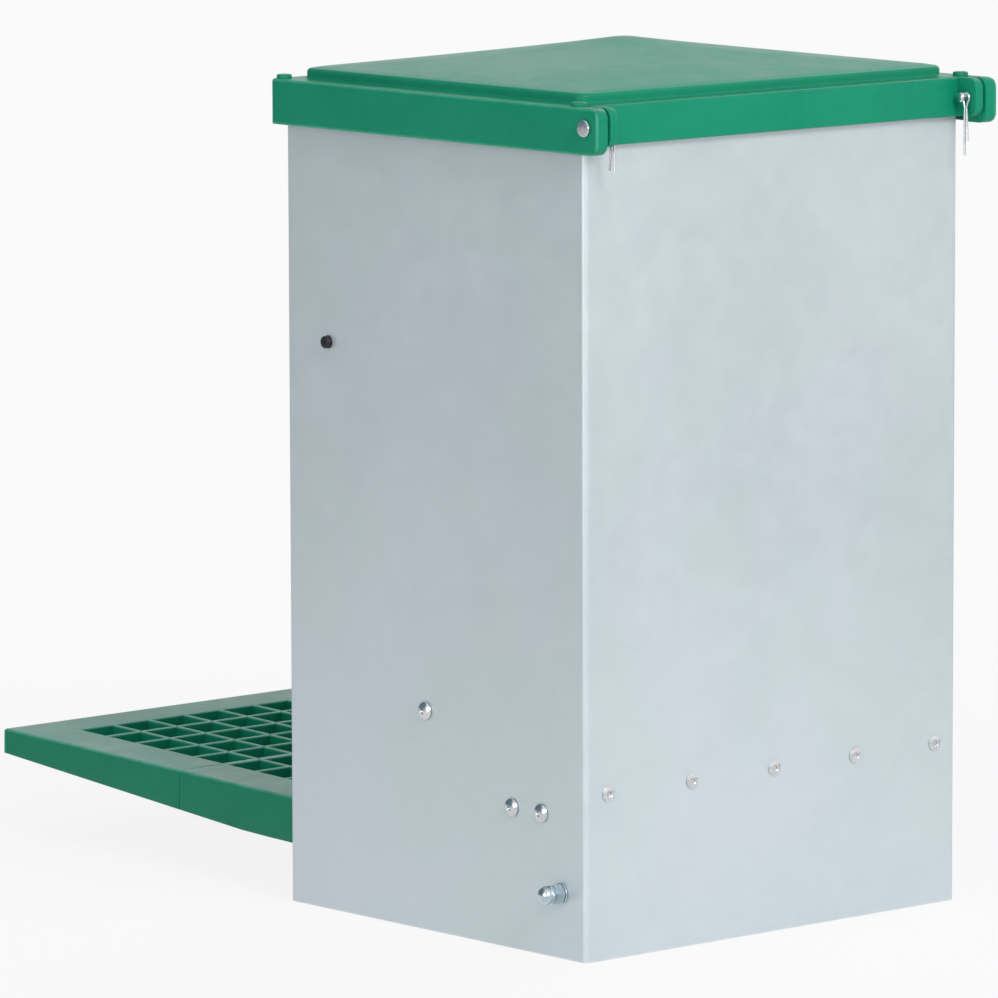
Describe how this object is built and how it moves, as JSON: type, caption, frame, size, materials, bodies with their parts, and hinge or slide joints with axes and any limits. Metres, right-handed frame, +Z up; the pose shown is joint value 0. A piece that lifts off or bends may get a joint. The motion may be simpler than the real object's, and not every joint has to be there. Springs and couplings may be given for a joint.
{
  "type": "treadle chicken feeder",
  "caption": "Sheet-metal feed hopper with a hinged crowned plastic lid and a trough closed by a flap that an open-grille foot treadle swings inwards.",
  "frame": {"origin": "on the floor, in the middle of the body's underside", "axes": "+Z up; the treadle points along -Y, the lid hinges at the +Y side, +X is to the right seen from the treadle"},
  "size_m": [0.333, 0.5897, 0.5241],
  "materials": {
    "galvanised_sheet": "galvanised, dull",
    "bright_zinc": "bright zinc",
    "green_plastic": "moulded, satin",
    "black_plastic": "moulded"
  },
  "bodies": {
    "body": {"body_wrap": "galvanised_sheet", "floor_panel": "galvanised_sheet", "front_panel": "galvanised_sheet", "front_apron": "galvanised_sheet", "feed_tray": "galvanised_sheet", "trough_cheek_left": "galvanised_sheet", "trough_cheek_right": "galvanised_sheet", "hopper_baffle": "galvanised_sheet", "collar": "green_plastic", "flap_bush_left": "black_plastic", "flap_bush_right": "black_plastic", "pivot_bolt_left": "bright_zinc", "pivot_bolt_right": "bright_zinc", "pivot_spacer_left": "black_plastic", "pivot_spacer_right": "black_plastic", "pivot_washer_left": "bright_zinc", "pivot_washer_right": "bright_zinc", "pivot_nut_left": "bright_zinc", "pivot_nut_right": "bright_zinc", "cap_nut_left": "bright_zinc", "cap_nut_right": "bright_zinc", "baffle_screw_left": "bright_zinc", "baffle_screw_right": "bright_zinc", "spring_screw_left": "bright_zinc", "spring_screw_right": "bright_zinc", "tray_screw_left": "bright_zinc", "tray_screw_right": "bright_zinc", "back_rivet_1": "bright_zinc", "back_rivet_2": "bright_zinc", "back_rivet_3": "bright_zinc", "back_rivet_4": "bright_zinc", "back_rivet_5": "bright_zinc", "hinge_pin_left": "bright_zinc", "hinge_pin_right": "bright_zinc", "split_pin_left": "bright_zinc", "split_pin_right": "bright_zinc", "return_spring_left": "bright_zinc", "return_spring_right": "bright_zinc"},
    "lid": {"lid": "green_plastic"},
    "flap": {"flap": "galvanised_sheet", "flap_rod": "bright_zinc", "flap_crank_left": "bright_zinc", "flap_crank_right": "bright_zinc"},
    "treadle": {"treadle_front": "green_plastic", "treadle_rear": "green_plastic", "treadle_arm_left": "galvanised_sheet", "treadle_arm_right": "galvanised_sheet", "cross_bar": "bright_zinc", "treadle_screw_front_left": "bright_zinc", "treadle_screw_front_right": "bright_zinc", "treadle_screw_rear_left": "bright_zinc", "treadle_screw_rear_right": "bright_zinc"},
    "link_left": {"link_rod_left": "bright_zinc"},
    "link_right": {"link_rod_right": "bright_zinc"}
  },
  "joints": [
    {"name": "lid_hinge", "type": "hinge", "parent": "body", "child": "lid", "pos_m": [0, 0.146, 0.4885], "axis": [-1, 0, 0], "range_deg": [0, 200]},
    {"name": "treadle_tip", "type": "hinge", "parent": "body", "child": "treadle", "pos_m": [0, 0.1124, 0.0385], "axis": [1, 0, 0], "range_deg": [0, 5], "stiffness_Nm_per_rad": 20, "springref_deg": -20.05, "deforming": ["return_spring_left", "return_spring_right"]},
    {"name": "flap_swing", "type": "hinge", "parent": "body", "child": "flap", "pos_m": [0, -0.0956, 0.3441], "axis": [1, 0, 0], "range_deg": [0, 26]},
    {"name": "link_left_pivot", "type": "hinge", "parent": "treadle", "child": "link_left", "pos_m": [-0.1418, -0.006, 0.04], "axis": [1, 0, 0], "range_deg": [-5.5, 0]},
    {"name": "link_right_pivot", "type": "hinge", "parent": "treadle", "child": "link_right", "pos_m": [0.1418, -0.006, 0.04], "axis": [1, 0, 0], "range_deg": [-5.5, 0]}
  ],
  "couplings": [
    {"joint": "flap_swing", "follows": "treadle_tip", "ratio": 5.2},
    {"joint": "link_left_pivot", "follows": "treadle_tip", "ratio": -1.092},
    {"joint": "link_right_pivot", "follows": "treadle_tip", "ratio": -1.092}
  ]
}
